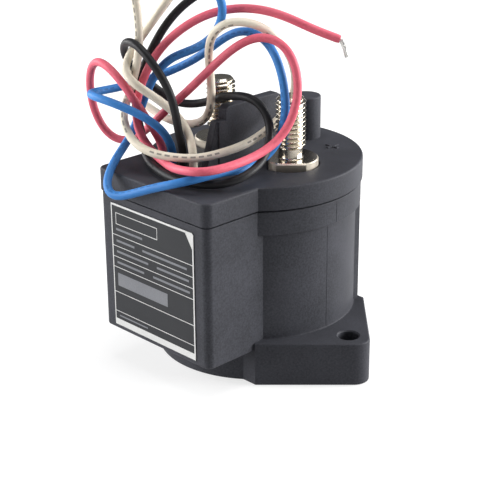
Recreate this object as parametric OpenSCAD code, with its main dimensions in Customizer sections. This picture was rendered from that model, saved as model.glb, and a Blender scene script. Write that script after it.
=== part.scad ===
// Sealed high voltage dc contactor with two screw studs and four coil and signal leads.
// The origin lies on the drum axis at the foot face. +Z is up, the label face looks towards -Y
// and the studs stand in a row along X.

/* [Housing] */
// Height from the foot face to the lid seam
housing_h = 48.3; // [48:0.1:54]
// Outside diameter of the drum
drum_d = 54.8; // [54:0.2:56]
// Outside diameter of the collar under the lid
collar_d = 57.4; // [56.6:0.2:60]
// Height of the collar
collar_h = 6.5; // [4:0.5:10]
// Width of the box that passes through the drum
box_w = 41.6; // [40:0.2:44]
// Distance from the drum axis to the label face
box_reach = 37.4; // [36.6:0.2:42]
// Distance from the drum axis to the rear corners of the box
box_rear = 19.7; // [18:0.1:20.5]
// Height of the underside of the box above the foot face
box_base = 9.7; // [6:0.1:11]
// Radius of the upright front edges of the box
box_edge_r = 2; // [1:0.25:3]
// Wall thickness of the housing
wall_t = 2; // [1.6:0.1:2.4]
// Floor thickness under the magnet
floor_t = 3; // [2:0.5:4]
// Width of the wire passage between the drum and the box
passage_w = 8; // [4:1:12]

/* [Feet] */
// Distance between the two mounting holes
foot_spacing = 70; // [68:1:76]
// Diameter of the mounting holes
foot_hole_d = 5.6; // [4.4:0.1:6.6]
// Thickness of the foot plate
foot_h = 12; // [8:0.5:14]
// Distance from a hole to the point where the slanted edges would meet
foot_corner = 8; // [7:0.5:10]
// Radius of the rounded foot tips
foot_tip_r = 4.3; // [3:0.1:5]
// Half depth of the foot plate
foot_half_depth = 21.5; // [19:0.5:23]

/* [Lid] */
// Thickness of the lid
lid_t = 6.7; // [5.6:0.1:8]
// Diameter of the round part of the lid
lid_d = 58.2; // [57.6:0.2:61]
// Overhang of the lid past the box on each side
lid_lip = 0.4; // [0.1:0.1:1]
// Depth of the recess in the underside of the lid
lid_recess = 3.2; // [2:0.2:4]
// Width of the locating ring under the lid
lid_ring_w = 1.5; // [1:0.25:2]
// Depth of the pockets around the stud flanges
pocket_depth = 0.8; // [0.4:0.1:1.4]
// Gap between a stud flange and its pocket
pocket_gap = 0.5; // [0.2:0.1:1]
// Length of the arms of the raised polarity mark
mark_len = 4.2; // [2:0.2:6]
// Width of the arms of the raised polarity mark
mark_w = 0.9; // [0.5:0.1:1.4]
// Height of the raised polarity mark
mark_h = 0.3; // [0.1:0.1:0.6]

/* [Barrier] */
// Thickness of the barrier wall
barrier_t = 3; // [2:0.2:4]
// Thickness of the raked web in front of the wall
web_t = 2.4; // [1.6:0.2:3]
// Distance from the axis to the front edge of the wall
barrier_front = 14.8; // [13.5:0.1:16]
// Reach of the raked web at its foot, past the front edge
web_reach = 4.1; // [1:0.1:4.5]
// Height of the shoulders above the lid
shoulder_h = 11.9; // [8:0.1:14]
// Height of the middle of the wall above the lid
barrier_h = 15.5; // [14:0.1:18]
// Distance from the axis to the front of the high middle part
rise_front = 12.2; // [10:0.1:13]
// Distance from the axis to the rear of the high middle part
rise_rear = 8.4; // [5:0.1:12]
// Length of the slopes at both ends of the high middle part
rise_slope = 1.4; // [0.5:0.1:2]
// Diameter of the post at the rear end of the wall
post_d = 8; // [5:0.5:9]
// Distance from the axis to the post
post_y = 20; // [18:0.5:22]

/* [Studs] */
// Distance between the two studs
stud_spacing = 26.5; // [26:0.5:29]
// Outside diameter of the thread
thread_d = 8; // [6:0.5:8]
// Height of the stud above its flange
stud_h = 16.5; // [15:0.5:20]
// Diameter of the neck between flange and thread
neck_d = 6.4; // [5:0.2:6.6]
// Height of the neck
neck_h = 2.6; // [1:0.2:4]
// Chamfer at the top of the thread
thread_chamfer = 1; // [0.4:0.1:1.4]
// Diameter of the flange
flange_d = 14.8; // [13:0.2:16]
// Distance across the two flats of the flange
flange_flats = 12.8; // [11:0.2:12.9]
// Distance from the stud's axis to the third flat of the flange
flange_side = 5.9; // [5:0.1:6.4]
// Thickness of the flange
flange_t = 2.7; // [1.6:0.1:3]
// Chamfer on the upper edge of the flange
flange_chamfer = 0.4; // [0.1:0.1:0.6]
// Diameter of the shank inside the lid
shank_d = 9; // [8.4:0.2:10]
// Direction that the flats of the flange face, from +X
flat_angle = -44; // [-90:1:90]
// Turn from the first flat of the flange to its third flat
side_turn = 90; // [60:5:120]
// Outside diameter of the sealing bushes
seal_d = 14; // [12:0.5:16]

/* [Contacts] */
// Opening between the moving and the fixed contacts
contact_gap = 1.6; // [1:0.1:2]
// Length of the contact bridge
bridge_l = 34; // [32:0.5:36]
// Width of the contact bridge
bridge_w = 10; // [8:0.5:12]
// Thickness of the contact bridge
bridge_t = 2.5; // [2:0.1:3]
// Diameter of the contact tips
tip_d = 6.4; // [5:0.2:7]
// Thickness of the contact tips
tip_t = 0.7; // [0.4:0.1:1]
// Inside length of the arc chamber
chamber_l = 38; // [37:0.5:38.4]
// Inside width of the arc chamber
chamber_w = 20; // [17:0.5:20]
// Wall thickness of the arc chamber
chamber_t = 2; // [1.6:0.1:2.2]
// Thickness of the chamber roof
roof_t = 2.5; // [2:0.1:3]
// Thickness of the insulating floor of the chamber
base_t = 1.5; // [1:0.1:2]
// Length of a blow-out magnet
magnet_l = 16; // [10:1:18]
// Thickness of a blow-out magnet
magnet_t = 3.5; // [2:0.25:4]
// Height of a blow-out magnet
magnet_h = 10; // [6:1:12]

/* [Magnet system] */
// Diameter of the drive rod
rod_d = 4; // [3:0.2:4.4]
// Diameter of the plunger
plunger_d = 15.8; // [14:0.2:17]
// Height of the plunger
plunger_h = 10; // [9:0.5:10.5]
// Air gap between plunger and fixed core at rest
core_gap = 2.2; // [2.1:0.1:2.6]
// Depth of the spring pockets in plunger and core
spring_pocket = 4; // [3:0.5:4.5]
// Radial running clearance of the moving pieces
run_gap = 0.08; // [0.05:0.01:0.1]
// Wall of the guide sleeve
sleeve_t = 0.5; // [0.3:0.1:0.8]
// Height of the coil bobbin
bobbin_h = 20.8; // [20.6:0.1:21.4]
// Wall of the bobbin tube and its end flanges
bobbin_t = 1.2; // [0.8:0.1:1.5]
// Wall of the steel yoke cup and its floor
yoke_t = 2.5; // [2:0.1:2.6]
// Thickness of the steel plate over the coil
plate_t = 2.5; // [2:0.1:2.6]
// Diameter of the wire of both springs
spring_wire = 0.9; // [0.6:0.1:1]

/* [Electronics] */
// Width of the control board
board_w = 32; // [24:1:34]
// Height of the control board
board_h = 30; // [22:1:32]
// Thickness of the control board
board_t = 1.6; // [0.8:0.2:2]

/* [Nameplate] */
// Width of the nameplate
plate_w = 32.4; // [24:0.4:36]
// Height of the nameplate
plate_h = 35.4; // [24:0.4:36]
// Height of the lower edge of the nameplate above the underside of the box
plate_rise = 1.3; // [0.5:0.1:2]
// Thickness of the nameplate
plate_film = 0.2; // [0.1:0.05:0.4]
// Size of its cut corner
plate_cut = 0.6; // [0.2:0.2:6]

/* [Leads] */
// Diameter of the insulated leads
lead_d = 2.2; // [1.6:0.1:2.3]
// Diameter of the bare tinned ends
strand_d = 1.2; // [0.8:0.1:1.6]

/* [Hidden] */
$fn = 72;

// Clearances and small steps
fit_gap = 0.1;
shell_gap = 0.2;
cut = 1;
overlap = 1;
rest_gap = 0.05;

// Radii of the nested round pieces
drum_r = drum_d / 2;
bore_r = drum_r - wall_t;
yoke_r = bore_r - shell_gap;
coil_room_r = yoke_r - yoke_t;
plunger_r = plunger_d / 2;
rod_r = rod_d / 2;
sleeve_in_r = plunger_r + run_gap;
sleeve_out_r = sleeve_in_r + sleeve_t;
bobbin_in_r = sleeve_out_r + fit_gap;
bobbin_tube_r = bobbin_in_r + bobbin_t;
bobbin_r = coil_room_r - shell_gap;
winding_margin = 0.6;
spring_inner_room = 1;
spring_outer_room = 0.5;
spring_r = rod_r + spring_wire / 2 + spring_inner_room;
spring_pocket_r = spring_r + spring_wire / 2 + spring_outer_room;
return_turns = 5;
contact_turns = 3;

// Levels of the magnet, from the floor up
bobbin_z = floor_t + yoke_t;
sleeve_floor = 0.6;
plunger_z = bobbin_z + sleeve_floor + fit_gap;
plunger_top = plunger_z + plunger_h;
core_z = plunger_top + core_gap;
plate_z = bobbin_z + bobbin_h;
base_z = plate_z + plate_t;
chamber_z = base_z + base_t;

// Levels of the contacts, from the chamber floor up
seat_lift = 0.7;
seat_t = 1.2;
seat_r = spring_r + spring_wire;
contact_spring_l = 4;
seat_z = chamber_z + seat_lift;
bridge_z = seat_z + seat_t + contact_spring_l;
bridge_top = bridge_z + bridge_t;
clip_t = 0.8;
clip_rim = 1.4;
clip_r = rod_r + clip_rim;
clip_z = bridge_top + rest_gap;
rod_top = clip_z + 2 * clip_t;
stud_bottom = bridge_top + tip_t + contact_gap;
magnet_lift = 2.5;
magnet_z = chamber_z + magnet_lift;

// Levels of the lid and the studs
lid_top = housing_h + lid_t;
lid_w = box_w + 2 * lid_lip;
lid_reach = box_reach + lid_lip;
lid_ring_h = 1.2;
lid_ring_r = bore_r - shell_gap;
roof_drop = 1.5;
chamber_top = housing_h - roof_drop;
recess_z = housing_h + lid_recess;
pocket_z = lid_top - pocket_depth;
flange_top = pocket_z + flange_t;
stud_top = flange_top + stud_h;
stud_x = stud_spacing / 2;
neck_step = (thread_d - neck_d) / 2;
mark_inset = 1.5;
mark_x = stud_x - mark_inset;
mark_y = 18;
rise_drop = 0.8;
web_top = 0.5;

// Feet
foot_x = foot_spacing / 2;
foot_apex = foot_x + foot_corner;

// Box that reaches low enough to carry the whole nameplate
plate_margin = 1;
box_low = min(box_base, housing_h - plate_margin - plate_h - plate_rise);

// Electronics inside the box
box_floor = box_low + wall_t;
board_stand = 0.6;
board_y = box_reach - wall_t - board_stand;
board_back = board_y - board_t;
board_z = box_floor + board_stand;
board_room = board_back - drum_r;
choke_share = 0.75;
driver_share = 0.38;
capacitor_share = 0.85;
reed_share = 0.38;
choke_size = [9, board_room * choke_share, 9];
choke_at = [8, 16];
driver_size = [6, board_room * driver_share, 8];
driver_at = [8, 4];
capacitor_d = board_room * capacitor_share;
capacitor_h = 9;
capacitor_at = [-10, 6];
reed_d = board_room * reed_share;
reed_l = 14;
reed_at = [-3, 8];

// Grommet and lead exits
exit_y = 22.5;
exit_pitch = 4;
exit_x = 12;
exit_count = 4;
grommet_w = 4.6;
grommet_rise = 0.5;
grommet_lip = 0.8;
grommet_x = -exit_x + exit_pitch * (exit_count - 1) / 2;
grommet_half = exit_pitch * (exit_count - 1) / 2;
grommet_depth = lid_t - lid_recess;

// Lead routes from the grommet to the end of the insulation, as [x, y, height above the lid]
red_route = [
    [-12, -22.5, 0.5], [-12, -22.5, 5], [-13, -27, 12.5], [-16, -30.5, 20.5], [-22.5, -31.5, 26],
    [-29.5, -30.5, 26], [-34, -29, 20], [-35, -27.5, 11], [-33, -25, 3.5], [-28.5, -22, 1],
    [-23.5, -19, 4.5], [-18, -17.5, 10.5], [-12, -17, 15.5], [-6.5, -17, 20], [-1, -15.5, 25.5],
    [4.5, -13, 31.5], [10, -9.5, 35.5], [15.5, -6, 34.5], [19.5, -4.5, 29], [20.5, -4.5, 21],
    [19.5, -6.5, 13.5], [18.5, -11, 9], [18, -18, 7], [18, -27, 6.5], [16.5, -34, 6.5],
    [11.5, -35.5, 6], [3.5, -32.5, 4], [-4, -28.5, 2.5], [-10.5, -28, 4.5], [-15.5, -28.5, 9.5],
    [-17, -27, 16.5], [-16, -24.5, 23.5], [-13.5, -21.5, 30], [-9.5, -18, 35], [-4.5, -14, 39],
    [1, -10, 41], [7.5, -6.5, 41.5], [14, -3, 40], [20, 0.5, 37], [25.5, 5, 34.5]
];
blue_route = [
    [-8, -22.5, 0.5], [-8, -22.5, 5], [-8.5, -26, 11], [-12, -31.5, 15.5], [-19, -35.5, 18],
    [-26, -35.5, 18], [-30, -31, 17], [-30, -24, 16.5], [-27, -17, 17.5], [-22, -12.5, 20],
    [-16.5, -10, 23], [-11, -8.5, 26.5], [-5.5, -7.5, 31], [0, -6.5, 34.5], [6, -5.5, 35],
    [12, -5.5, 32], [16, -6, 26], [17.5, -6, 18.5], [16.5, -6, 11], [14.5, -8, 5.5],
    [13.5, -12.5, 3], [14.5, -19.5, 3], [15, -27, 4.5], [13.5, -33.5, 4], [9, -37.5, 2.5],
    [2, -39.5, 0], [-4.5, -41.5, -3], [-9, -43, -4], [-12.5, -42, -1.5], [-15.5, -36.5, 2.5],
    [-18, -29.5, 5.5], [-18.5, -25.5, 10.5], [-17.5, -23.5, 17], [-15.5, -21, 23.5], [-12.5, -18, 27.5],
    [-7.5, -15, 29.5], [-1.5, -13, 33.5], [2.5, -13, 40.5], [3, -15.5, 47], [-1.5, -20, 50.5]
];
black_route = [
    [-4, -22.5, 0.5], [-4, -22.5, 5], [-3.5, -24.5, 11], [-4, -25, 17.5], [-5.5, -26.5, 23.5],
    [-8, -28.5, 28.5], [-13, -29, 32.5], [-19, -28, 32.5], [-23.5, -25.5, 28.5], [-24.5, -22, 23],
    [-23.5, -17.5, 18.5], [-21.5, -14, 15], [-18.5, -12, 12.5], [-14, -10, 12.5], [-9, -9, 14],
    [-3.5, -9.5, 16.5], [2.5, -11, 18.5], [8.5, -10.5, 19.5], [12.5, -9, 17], [14.5, -8.5, 12],
    [16, -11, 7.5], [18, -15.5, 5], [19.5, -20.5, 4], [18.5, -25.5, 2.5], [14.5, -30, 1.5],
    [9, -32.5, 1.5], [3, -33, 1.5], [-4, -31.5, 1.5], [-10.5, -28.5, 1.5], [-15.5, -25.5, 1.5],
    [-19, -23, 3], [-20.5, -23, 7.5], [-20.5, -24.5, 14], [-19.5, -24.5, 19.5], [-18, -23.5, 24],
    [-16.5, -21, 30], [-14.5, -17, 37], [-10.5, -11.5, 43], [-5, -6.5, 46], [-1, -2.5, 45]
];
white_route = [
    [0, -22.5, 0.5], [0, -22.5, 5], [-3.5, -20.5, 9.5], [-8, -22.5, 15.5], [-13, -29.5, 21.5],
    [-16.5, -30, 23.5], [-19.5, -28.5, 26.5], [-19.5, -21.5, 33], [-15, -20, 39], [-9.5, -15.5, 48],
    [-12.5, -18, 57.5], [-16.5, -26, 56], [-16.5, -27, 47], [-16.5, -25.5, 38.5], [-16, -26, 30],
    [-17, -27, 23.5], [-19.5, -28, 16], [-17, -32, 13.5], [-13.5, -32.5, 8], [-7, -32.5, 6],
    [0, -30, 5.5], [4.5, -25, 5], [6.5, -18, 5.5], [7, -10.5, 6], [6.5, -3, 7.5],
    [6.5, 3.5, 10.5], [7.5, 7, 15], [9, 6.5, 21.5], [10.5, 2.5, 28.5], [10.5, -3, 34.5],
    [8.5, -9, 38.5], [4.5, -14, 39], [0.5, -16, 35.5], [-2.5, -14.5, 29.5], [-3.5, -12.5, 21.5],
    [-4, -12, 14], [-7.5, -12, 9], [-14, -13, 7.5], [-21, -14, 8], [-28, -14.5, 10.5]
];

// Bare ends beyond the insulation, as steps from the end of each route
red_end_steps = [[0, 0, 0], [1, 0.5, -1.5], [1.5, 1, -4.5]];
blue_end_steps = [[0, 0, 0], [-2, -2, 1.5], [-3.5, -3.5, 2]];
black_end_steps = [[0, 0, 0], [2, 2, -0.5], [4, 3.5, -1.5]];
white_end_steps = [[0, 0, 0], [-2.5, 0, 1], [-4.5, 0.5, 2]];

// Shape of swept tubes
tube_sides = 8;
steps_per_leg = 2;
steps_per_turn = 18;

// Colours
plastic_grey = [0.22, 0.22, 0.23];
nickel = [0.78, 0.74, 0.66];
steel = [0.62, 0.63, 0.65];
copper = [0.72, 0.42, 0.26];
silver_tip = [0.85, 0.85, 0.86];
chamber_white = [0.86, 0.85, 0.8];
ferrite = [0.25, 0.24, 0.24];
bobbin_tan = [0.72, 0.62, 0.42];
board_green = [0.1, 0.35, 0.2];
seal_red = [0.3, 0.12, 0.1];
reed_green = [0.55, 0.7, 0.6];
rubber_black = [0.1, 0.1, 0.1];
label_dark = [0.2, 0.2, 0.22];
insulation_red = [0.78, 0.28, 0.33];
insulation_blue = [0.2, 0.45, 0.78];
insulation_black = [0.12, 0.12, 0.13];
insulation_white = [0.82, 0.79, 0.73];

// Smooth curve that follows the points of a route
function near_weight(t) = 4 - 6 * t * t + 3 * t * t * t;
function curve_point(a, b, c, d, t) =
    let (u = 1 - t)
    (u * u * u * a + near_weight(t) * b + near_weight(u) * c + t * t * t * d) / 6;
function before(p, i) = i == 0 ? 2 * p[0] - p[1] : p[i - 1];
function after(p, i) = i + 2 < len(p) ? p[i + 2] : 2 * p[i + 1] - p[i];
function smooth(p, steps) = [
    for (i = [0 : len(p) - 2], k = [0 : steps - 1])
        curve_point(before(p, i), p[i], p[i + 1], after(p, i), k / steps),
    p[len(p) - 1]
];
function above_lid(p) = [for (q = p) q + [0, 0, lid_top]];
function lead_path(route) = smooth(above_lid(route), steps_per_leg);
function end_path(route, steps) = [for (s = steps) route[len(route) - 1] + s + [0, 0, lid_top]];
function helix(r, low, high, turns) = [
    for (i = [0 : turns * steps_per_turn])
        let (a = 360 * i / steps_per_turn)
        [r * cos(a), r * sin(a), low + (high - low) * i / (turns * steps_per_turn)]
];

// Frames that are carried along a path without twist
function unit(v) = v / norm(v);
function tangent(p, i) = unit(p[min(i + 1, len(p) - 1)] - p[max(i - 1, 0)]);
function square_to(v, t) = unit(v - (v * t) * t);
function first_side(t) = abs(t[0]) < 0.8 ? square_to([1, 0, 0], t) : square_to([0, 1, 0], t);
function carried(s, p, i) = i < len(p) ? square_to(s, tangent(p, i)) : s;
function path_sides(p) = [
    for (i = 0, s = first_side(tangent(p, 0)); i < len(p); i = i + 1, s = carried(s, p, i)) s
];
function ring_point(c, s, t, r, a) = c + r * (cos(a) * s + sin(a) * cross(t, s));

// Closed tube of radius r along a path
module tube(p, r) {
    n = tube_sides;
    m = len(p);
    sides = path_sides(p);
    points = [
        for (i = [0 : m - 1], j = [0 : n - 1])
            ring_point(p[i], sides[i], tangent(p, i), r, 360 * j / n)
    ];
    walls = [
        for (i = [0 : m - 2], j = [0 : n - 1], half = [0, 1])
            let (a = i * n + j, b = i * n + (j + 1) % n)
            half == 0 ? [a, a + n, b + n] : [a, b + n, b]
    ];
    start_cap = [for (j = [0 : n - 1]) j];
    end_cap = [for (j = [n - 1 : -1 : 0]) (m - 1) * n + j];
    polyhedron(points, concat(walls, [start_cap], [end_cap]));
}

// Plan of a block with two round front corners
module block_plan(w, front, rear, r) {
    translate([-w / 2, -front + r]) square([w, front + rear - r]);
    translate([-w / 2 + r, -front]) square([w - 2 * r, front + rear]);
    for (side = [-1, 1]) translate([side * (w / 2 - r), -front + r]) circle(r = r);
}

// Upright ring or disc with a hole
module ring(z, h, outer, inner) {
    translate([0, 0, z]) difference() {
        cylinder(r = outer, h = h);
        translate([0, 0, -cut]) cylinder(r = inner, h = h + 2 * cut);
    }
}

// Plan of a slot with round ends along X
module slot_plan(half, w) {
    translate([-half, -w / 2]) square([2 * half, w]);
    for (side = [-1, 1]) translate([side * half, 0]) circle(d = w);
}

// Plan of the foot plate: slanted edges at 45 degrees with round tips
module foot_plan() {
    tip = foot_tip_r * sqrt(0.5);
    shoulder = foot_apex - foot_half_depth;
    polygon([
        [foot_apex - tip, -tip], [foot_apex - tip, tip],
        [shoulder, foot_half_depth], [-shoulder, foot_half_depth],
        [-foot_apex + tip, tip], [-foot_apex + tip, -tip],
        [-shoulder, -foot_half_depth], [shoulder, -foot_half_depth]
    ]);
    for (side = [-1, 1]) translate([side * (foot_apex - 2 * tip), 0]) circle(r = foot_tip_r);
}

module housing() {
    color(plastic_grey) difference() {
        union() {
            cylinder(r = drum_r, h = housing_h);
            translate([0, 0, housing_h - collar_h]) cylinder(d = collar_d, h = collar_h);
            translate([0, 0, box_low]) linear_extrude(housing_h - box_low)
                block_plan(box_w, box_reach, box_rear, box_edge_r);
            linear_extrude(foot_h) foot_plan();
        }
        translate([0, 0, floor_t]) cylinder(r = bore_r, h = housing_h);
        translate([0, 0, box_floor]) linear_extrude(housing_h) difference() {
            block_plan(box_w - 2 * wall_t, box_reach - wall_t, 0, box_edge_r / 2);
            circle(r = drum_r);
        }
        translate([-passage_w / 2, -drum_r - cut, housing_h - collar_h])
            cube([passage_w, 2 * wall_t, collar_h + cut]);
        for (side = [-1, 1]) translate([side * foot_x, 0, -cut])
            cylinder(d = foot_hole_d, h = foot_h + 2 * cut);
    }
}

// Barrier wall between the studs, drawn in its Y-Z plane
module barrier() {
    rotate([90, 0, 90]) linear_extrude(barrier_t, center = true) polygon([
        [-barrier_front, -overlap], [-barrier_front, shoulder_h], [-rise_front, shoulder_h],
        [-rise_front, barrier_h - rise_drop], [-rise_front + rise_slope, barrier_h],
        [rise_rear - rise_slope, barrier_h], [rise_rear, barrier_h - rise_drop],
        [rise_rear, shoulder_h], [post_y, shoulder_h], [post_y, -overlap]
    ]);
    rotate([90, 0, 90]) linear_extrude(web_t, center = true) polygon([
        [-barrier_front - web_reach, -overlap], [-barrier_front - web_reach, 0],
        [-barrier_front - web_top, shoulder_h], [-barrier_front + overlap, shoulder_h],
        [-barrier_front + overlap, -overlap]
    ]);
    translate([0, post_y, -overlap]) cylinder(d = post_d, h = shoulder_h + overlap);
}

module polarity_mark() {
    for (turn = [0, 90]) rotate([0, 0, turn])
        translate([-mark_len / 2, -mark_w / 2, -overlap]) cube([mark_len, mark_w, mark_h + overlap]);
}

module lid() {
    color(plastic_grey) difference() {
        union() {
            translate([0, 0, housing_h]) linear_extrude(lid_t) union() {
                circle(d = lid_d);
                block_plan(lid_w, lid_reach, 0, box_edge_r + lid_lip);
            }
            translate([0, 0, housing_h - lid_ring_h]) cylinder(r = lid_ring_r, h = lid_ring_h + overlap);
            translate([0, 0, lid_top]) barrier();
            translate([mark_x, mark_y, lid_top]) polarity_mark();
        }
        translate([0, 0, housing_h - lid_ring_h - cut])
            cylinder(r = lid_ring_r - lid_ring_w, h = lid_ring_h + cut + lid_recess);
        for (side = [-1, 1]) translate([side * stud_x, 0, housing_h]) {
            cylinder(r = shank_d / 2 + fit_gap, h = lid_t + cut);
            translate([0, 0, lid_t - pocket_depth])
                cylinder(r = flange_d / 2 + pocket_gap, h = cut + pocket_depth);
        }
        translate([grommet_x, -exit_y, housing_h - lid_ring_h - cut])
            linear_extrude(lid_t + lid_ring_h + 2 * cut) slot_plan(grommet_half, grommet_w + 2 * fit_gap);
    }
}

module nameplate() {
    z = box_low + plate_rise;
    color(label_dark) translate([0, -box_reach, z]) rotate([90, 0, 0]) linear_extrude(plate_film) polygon([
        [-plate_w / 2, 0], [plate_w / 2, 0], [plate_w / 2, plate_h - plate_cut],
        [plate_w / 2 - plate_cut, plate_h], [-plate_w / 2, plate_h]
    ]);
}

// One stud, standing on its own axis, with the third flat of its flange turned from the first
module terminal_stud(turn) {
    color(nickel) difference() {
        rotate_extrude() polygon([
            [0, stud_bottom], [shank_d / 2, stud_bottom], [shank_d / 2, pocket_z],
            [flange_d / 2, pocket_z], [flange_d / 2, flange_top - flange_chamfer],
            [flange_d / 2 - flange_chamfer, flange_top], [neck_d / 2, flange_top],
            [neck_d / 2, flange_top + neck_h], [thread_d / 2, flange_top + neck_h + neck_step],
            [thread_d / 2, stud_top - thread_chamfer], [thread_d / 2 - thread_chamfer, stud_top],
            [0, stud_top]
        ]);
        for (flat = [[0, flange_flats / 2], [180, flange_flats / 2], [turn, flange_side]])
            rotate([0, 0, flat_angle + flat[0]]) translate([flat[1], -flange_d, pocket_z - cut])
            cube([flange_d, 2 * flange_d, flange_t + cut + rest_gap]);
    }
}

module stud_seals() {
    color(seal_red) for (side = [-1, 1]) translate([side * stud_x, 0, 0])
        ring(chamber_top, recess_z - chamber_top, seal_d / 2, shank_d / 2 + fit_gap);
}

module arc_chamber() {
    outer = [chamber_l + 2 * chamber_t, chamber_w + 2 * chamber_t];
    h = chamber_top - chamber_z;
    color(chamber_white) difference() {
        translate([-outer[0] / 2, -outer[1] / 2, chamber_z]) cube([outer[0], outer[1], h]);
        translate([-chamber_l / 2, -chamber_w / 2, chamber_z - cut])
            cube([chamber_l, chamber_w, h - roof_t + cut]);
        for (side = [-1, 1]) translate([side * stud_x, 0, chamber_z])
            cylinder(r = shank_d / 2 + fit_gap, h = h + cut);
    }
}

module chamber_base() {
    size = [chamber_l + 2 * chamber_t, chamber_w + 2 * chamber_t];
    color(chamber_white) difference() {
        translate([-size[0] / 2, -size[1] / 2, base_z]) cube([size[0], size[1], base_t]);
        translate([0, 0, base_z - cut]) cylinder(r = rod_r + run_gap + shell_gap, h = base_t + 2 * cut);
    }
}

module arc_magnets() {
    color(ferrite) for (turn = [0, 180]) rotate([0, 0, turn])
        translate([-magnet_l / 2, chamber_w / 2 + chamber_t, magnet_z])
        cube([magnet_l, magnet_t, magnet_h]);
}

module contact_bridge() {
    color(copper) difference() {
        translate([-bridge_l / 2, -bridge_w / 2, bridge_z]) cube([bridge_l, bridge_w, bridge_t]);
        translate([0, 0, bridge_z - cut]) cylinder(r = rod_r + run_gap, h = bridge_t + 2 * cut);
    }
}

module bridge_contacts() {
    color(silver_tip) for (side = [-1, 1]) translate([side * stud_x, 0, bridge_top])
        cylinder(d = tip_d, h = tip_t);
}

module contact_spring() {
    low = seat_z + seat_t + spring_wire / 2 + rest_gap;
    high = bridge_z - spring_wire / 2 - rest_gap;
    color(steel) tube(helix(spring_r, low, high, contact_turns), spring_wire / 2);
}

module spring_seat() {
    color(bobbin_tan) ring(seat_z, seat_t, seat_r, rod_r + rest_gap / 2);
}

module bridge_clip() {
    color(steel) ring(clip_z, clip_t, clip_r, rod_r + rest_gap / 2);
}

module drive_rod() {
    color(steel) translate([0, 0, plunger_z]) cylinder(r = rod_r, h = rod_top - plunger_z);
}

module plunger() {
    color(steel) difference() {
        ring(plunger_z, plunger_h, plunger_r, rod_r + rest_gap / 2);
        translate([0, 0, plunger_top - spring_pocket])
            cylinder(r = spring_pocket_r, h = spring_pocket + cut);
    }
}

module return_spring() {
    low = plunger_top - spring_pocket + spring_wire / 2 + rest_gap;
    high = core_z + spring_pocket - spring_wire / 2 - rest_gap;
    color(steel) tube(helix(spring_r, low, high, return_turns), spring_wire / 2);
}

module fixed_core() {
    color(steel) difference() {
        ring(core_z, plate_z - core_z, plunger_r, rod_r + run_gap);
        translate([0, 0, core_z - cut]) cylinder(r = spring_pocket_r, h = spring_pocket + cut);
    }
}

module guide_sleeve() {
    color(steel) difference() {
        translate([0, 0, bobbin_z]) cylinder(r = sleeve_out_r, h = plate_z - bobbin_z);
        translate([0, 0, bobbin_z + sleeve_floor]) cylinder(r = sleeve_in_r, h = plate_z - bobbin_z);
    }
}

module coil_bobbin() {
    color(bobbin_tan) union() {
        ring(bobbin_z, bobbin_h, bobbin_tube_r, bobbin_in_r);
        for (z = [bobbin_z, bobbin_z + bobbin_h - bobbin_t]) ring(z, bobbin_t, bobbin_r, bobbin_in_r);
    }
}

module coil_winding() {
    color(copper) ring(
        bobbin_z + bobbin_t, bobbin_h - 2 * bobbin_t,
        bobbin_r - winding_margin, bobbin_tube_r + rest_gap
    );
}

module yoke_cup() {
    color(steel) difference() {
        translate([0, 0, floor_t]) cylinder(r = yoke_r, h = yoke_t + bobbin_h);
        translate([0, 0, bobbin_z]) cylinder(r = coil_room_r, h = bobbin_h + cut);
    }
}

module yoke_plate() {
    color(steel) ring(plate_z, plate_t, yoke_r, rod_r + run_gap + shell_gap);
}

module control_board() {
    color(board_green) translate([-board_w / 2, -board_y, board_z]) cube([board_w, board_t, board_h]);
}

// A block that stands on the inner face of the board
module on_board(at, size) {
    translate([at[0] - size[0] / 2, -board_back, board_z + at[1]]) cube(size);
}

module board_components() {
    color(ferrite) union() {
        on_board(choke_at, choke_size);
        on_board(driver_at, driver_size);
        translate([capacitor_at[0], -board_back + capacitor_d / 2 + fit_gap, board_z + capacitor_at[1]])
            cylinder(d = capacitor_d, h = capacitor_h);
    }
}

module reed_switch() {
    color(reed_green) translate([reed_at[0], -board_back + reed_d / 2 + fit_gap, board_z + reed_at[1]])
        cylinder(d = reed_d, h = reed_l);
}

module lead_grommet() {
    color(rubber_black) translate([grommet_x, -exit_y, 0]) union() {
        translate([0, 0, recess_z]) linear_extrude(grommet_depth) slot_plan(grommet_half, grommet_w);
        translate([0, 0, lid_top]) linear_extrude(grommet_rise)
            slot_plan(grommet_half, grommet_w + 2 * grommet_lip);
    }
}

module lead(route, tint) {
    color(tint) tube(lead_path(route), lead_d / 2);
}

module lead_end(route, steps) {
    color(nickel) tube(end_path(route, steps), strand_d / 2);
}

housing();
lid();
nameplate();
translate([-stud_x, 0, 0]) terminal_stud(side_turn);  // terminal_stud_left
translate([stud_x, 0, 0]) terminal_stud(-side_turn);  // terminal_stud_right
stud_seals();
arc_chamber();
chamber_base();
arc_magnets();
contact_bridge();
bridge_contacts();
contact_spring();
spring_seat();
bridge_clip();
drive_rod();
plunger();
return_spring();
fixed_core();
guide_sleeve();
coil_bobbin();
coil_winding();
yoke_cup();
yoke_plate();
control_board();
board_components();
reed_switch();
lead_grommet();
lead(red_route, insulation_red);  // lead_red
lead(blue_route, insulation_blue);  // lead_blue
lead(black_route, insulation_black);  // lead_black
lead(white_route, insulation_white);  // lead_white
lead_end(red_route, red_end_steps);  // red_lead_end
lead_end(blue_route, blue_end_steps);  // blue_lead_end
lead_end(black_route, black_end_steps);  // black_lead_end
lead_end(white_route, white_end_steps);  // white_lead_end
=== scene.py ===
"""Looks of a sealed high voltage dc contactor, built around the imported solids."""
import math

import bmesh
import bpy
from mathutils import Matrix, Vector


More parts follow.
